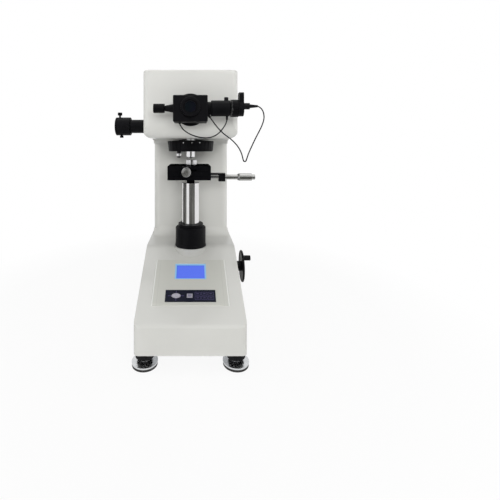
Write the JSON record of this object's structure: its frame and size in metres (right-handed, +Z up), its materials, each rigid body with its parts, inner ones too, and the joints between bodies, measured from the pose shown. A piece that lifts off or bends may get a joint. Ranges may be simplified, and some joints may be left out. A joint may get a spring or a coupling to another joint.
{
  "type": "micro-hardness tester",
  "caption": "Bench hardness tester: C-shaped casting with an elevating XY stage, indenter turret and measuring eyepiece over a sloping keypad panel.",
  "frame": {"origin": "centre of the footprint's bounding box, on the bench", "axes": "+Z up, +Y from the operator towards the column, +X to the operator's right"},
  "size_m": [0.319, 0.4914, 0.545],
  "materials": {
    "body_paint": "fine textured warm grey enamel, satin",
    "panel_paint": "smooth satin grey plate",
    "black_paint": "satin black enamel or anodising",
    "black_plastic": "matte black moulding",
    "sheet_steel": "bright zinc-plated steel",
    "ground_steel": "ground steel, lightly oiled",
    "polished_steel": "satin chrome",
    "chrome": "hard chrome, mirror bright",
    "iron": "as cast",
    "bronze": "turned bronze",
    "rubber": "matte",
    "screen": "backlit blue display",
    "overlay": "dark navy film",
    "key_silver": "silver grey",
    "board": "circuit board laminate",
    "motor_paint": "dark grey",
    "lens_glass": "coated optical glass",
    "lead_sheath": "thin flexible sheath"
  },
  "bodies": {
    "frame": {"frame_casting": "body_paint", "head_cover": "body_paint", "rear_cover": "body_paint", "bottom_plate": "sheet_steel", "cover_screws": "sheet_steel", "foot_pads": "rubber", "foot_dishes": "sheet_steel", "control_panel": "panel_paint", "lcd_screen": "screen", "keypad_overlay": "overlay", "electronics": "board", "rear_fittings": "black_plastic", "lift_housing": "iron", "bushes": "bronze", "dust_cover": "black_paint", "head_pivots": "ground_steel", "loading_motor": "motor_paint", "prism_housing": "black_paint", "optical_tubes": "black_paint", "lamp_housing": "black_paint", "lamp_bulb": "lens_glass"},
    "pad_key": {"pad_key": "key_silver"},
    "square_key": {"square_key": "key_silver"},
    "switch_rocker": {"switch_rocker": "black_plastic"},
    "foot_knob_1": {"foot_knob_1": "black_plastic"},
    "foot_knob_2": {"foot_knob_2": "black_plastic"},
    "foot_knob_3": {"foot_knob_3": "black_plastic"},
    "foot_knob_4": {"foot_knob_4": "black_plastic"},
    "lift_drive": {"drive_shaft": "ground_steel", "hand_wheel": "black_paint"},
    "crank_handle": {"crank_handle": "black_plastic"},
    "lift_nut": {"lift_nut": "bronze"},
    "stage_column": {"elevating_screw": "chrome", "stage_base": "black_paint"},
    "x_carriage": {"x_carriage": "black_paint", "mic_brackets": "black_paint", "mic_barrels": "polished_steel"},
    "y_table": {"y_table": "black_paint", "test_block": "polished_steel"},
    "x_thimble": {"x_thimble": "polished_steel"},
    "y_thimble": {"y_thimble": "polished_steel"},
    "turret": {"turret": "black_paint", "objectives": "black_paint"},
    "indenter": {"indenter": "chrome"},
    "load_spindle": {"load_spindle": "ground_steel"},
    "load_lever": {"load_lever": "ground_steel"},
    "lift_cam": {"lift_cam": "ground_steel"},
    "lamp_screw_top": {"lamp_screw_top": "black_paint"},
    "lamp_screw_low": {"lamp_screw_low": "black_paint"},
    "eyepiece": {"eyepiece_body": "black_paint", "encoder_housing": "black_plastic", "lead_fittings": "black_plastic", "encoder_lead": "lead_sheath", "button_lead": "lead_sheath"},
    "eye_ring": {"eye_ring": "black_paint", "eye_lens": "lens_glass"},
    "left_knob": {"left_knob": "black_plastic"},
    "read_button": {"read_button": "black_plastic"},
    "measuring_drum": {"measuring_drum": "black_plastic"}
  },
  "joints": [
    {"name": "pad_key_press", "type": "slide", "parent": "frame", "child": "pad_key", "axis": [0, 0.4492, -0.8934], "range_m": [0, 0.0008], "stiffness_N_per_m": 300},
    {"name": "square_key_press", "type": "slide", "parent": "frame", "child": "square_key", "axis": [0, 0.4492, -0.8934], "range_m": [0, 0.0008], "stiffness_N_per_m": 300},
    {"name": "power_switch", "type": "hinge", "parent": "frame", "child": "switch_rocker", "pos_m": [0.0195, 0.23825, 0.084], "axis": [0, 0, 1], "range_deg": [-16, 0]},
    {"name": "foot_knob_1_turn", "type": "hinge", "parent": "frame", "child": "foot_knob_1", "pos_m": [-0.0705, -0.22225, 0.02], "axis": [0, 0, 1], "range_deg": [-1080, 1080]},
    {"name": "foot_knob_2_turn", "type": "hinge", "parent": "frame", "child": "foot_knob_2", "pos_m": [0.0935, -0.22225, 0.02], "axis": [0, 0, 1], "range_deg": [-1080, 1080]},
    {"name": "foot_knob_3_turn", "type": "hinge", "parent": "frame", "child": "foot_knob_3", "pos_m": [-0.0705, 0.21075, 0.02], "axis": [0, 0, 1], "range_deg": [-1080, 1080]},
    {"name": "foot_knob_4_turn", "type": "hinge", "parent": "frame", "child": "foot_knob_4", "pos_m": [0.0935, 0.21075, 0.02], "axis": [0, 0, 1], "range_deg": [-1080, 1080]},
    {"name": "stage_lift", "type": "slide", "parent": "frame", "child": "stage_column", "axis": [0, 0, 1], "range_m": [-0.082, 0.00125]},
    {"name": "hand_wheel_turn", "type": "hinge", "parent": "frame", "child": "lift_drive", "pos_m": [0.0115, -0.06125, 0.117], "axis": [1, 0, 0], "range_deg": [-182, 11810]},
    {"name": "crank_handle_spin", "type": "hinge", "parent": "lift_drive", "child": "crank_handle", "pos_m": [0.1291, -0.07139, 0.13875], "axis": [1, 0, 0], "continuous": true},
    {"name": "lift_nut_turn", "type": "hinge", "parent": "frame", "child": "lift_nut", "pos_m": [0.0115, -0.06125, 0.088], "axis": [0, 0, 1], "range_deg": [-91, 5905]},
    {"name": "x_slide", "type": "slide", "parent": "stage_column", "child": "x_carriage", "axis": [1, 0, 0], "range_m": [-0.0095, 0.015]},
    {"name": "x_thimble_turn", "type": "hinge", "parent": "stage_column", "child": "x_thimble", "pos_m": [0.0555, -0.06125, 0.322], "axis": [1, 0, 0], "range_deg": [-10802, 6842]},
    {"name": "y_slide", "type": "slide", "parent": "x_carriage", "child": "y_table", "axis": [0, 1, 0], "range_m": [-0.0125, 0.0125]},
    {"name": "y_thimble_turn", "type": "hinge", "parent": "y_table", "child": "y_thimble", "pos_m": [0.0035, -0.10925, 0.343], "axis": [0, -1, 0], "range_deg": [-9002, 9002]},
    {"name": "turret_turn", "type": "hinge", "parent": "frame", "child": "turret", "pos_m": [0.0115, -0.03325, 0.381], "axis": [0, 0, 1], "range_deg": [0, 180]},
    {"name": "lever_tilt", "type": "hinge", "parent": "frame", "child": "load_lever", "pos_m": [0.0115, -0.10625, 0.4245], "axis": [1, 0, 0], "range_deg": [-1.27, 0]},
    {"name": "lift_cam_turn", "type": "hinge", "parent": "frame", "child": "lift_cam", "pos_m": [0.0115, 0.12375, 0.399], "axis": [1, 0, 0], "range_deg": [-1, 181]},
    {"name": "spindle_stroke", "type": "slide", "parent": "frame", "child": "load_spindle", "axis": [0, 0, 1], "range_m": [-0.00101, 0.00001]},
    {"name": "indenter_stroke", "type": "slide", "parent": "turret", "child": "indenter", "axis": [0, 0, 1], "range_m": [-0.00101, 0.00001]},
    {"name": "eyepiece_turn", "type": "hinge", "parent": "frame", "child": "eyepiece", "pos_m": [0.0115, -0.18925, 0.462], "axis": [0, 1, 0], "range_deg": [-90, 0]},
    {"name": "dioptre_turn", "type": "hinge", "parent": "eyepiece", "child": "eye_ring", "pos_m": [0.0115, -0.23125, 0.462], "axis": [0, 1, 0], "range_deg": [-180, 180]},
    {"name": "zero_knob_turn", "type": "hinge", "parent": "eyepiece", "child": "left_knob", "pos_m": [-0.0195, -0.21025, 0.462], "axis": [1, 0, 0], "range_deg": [-1440, 1440]},
    {"name": "measuring_drum_turn", "type": "hinge", "parent": "eyepiece", "child": "measuring_drum", "pos_m": [0.0855, -0.21025, 0.462], "axis": [1, 0, 0], "range_deg": [-1440, 1440]},
    {"name": "read_button_press", "type": "slide", "parent": "eyepiece", "child": "read_button", "axis": [0, 0, -1], "range_m": [0, 0.0012], "stiffness_N_per_m": 200},
    {"name": "lamp_screw_top_turn", "type": "hinge", "parent": "frame", "child": "lamp_screw_top", "pos_m": [-0.1515, -0.06125, 0.4386], "axis": [0, 0, 1], "range_deg": [-720, 720]},
    {"name": "lamp_screw_low_turn", "type": "hinge", "parent": "frame", "child": "lamp_screw_low", "pos_m": [-0.1475, -0.06125, 0.4386], "axis": [0, 0, 1], "range_deg": [-720, 720]}
  ],
  "couplings": [
    {"joint": "hand_wheel_turn", "follows": "stage_lift", "rad_per_m": -2513.3},
    {"joint": "lift_nut_turn", "follows": "stage_lift", "rad_per_m": -1256.6},
    {"joint": "x_thimble_turn", "follows": "x_slide", "rad_per_m": -12566},
    {"joint": "y_thimble_turn", "follows": "y_slide", "rad_per_m": -12566},
    {"joint": "lift_cam_turn", "follows": "lever_tilt", "ratio": -141.37},
    {"joint": "spindle_stroke", "follows": "lever_tilt", "m_per_rad": 0.045},
    {"joint": "indenter_stroke", "follows": "lever_tilt", "m_per_rad": 0.045}
  ]
}
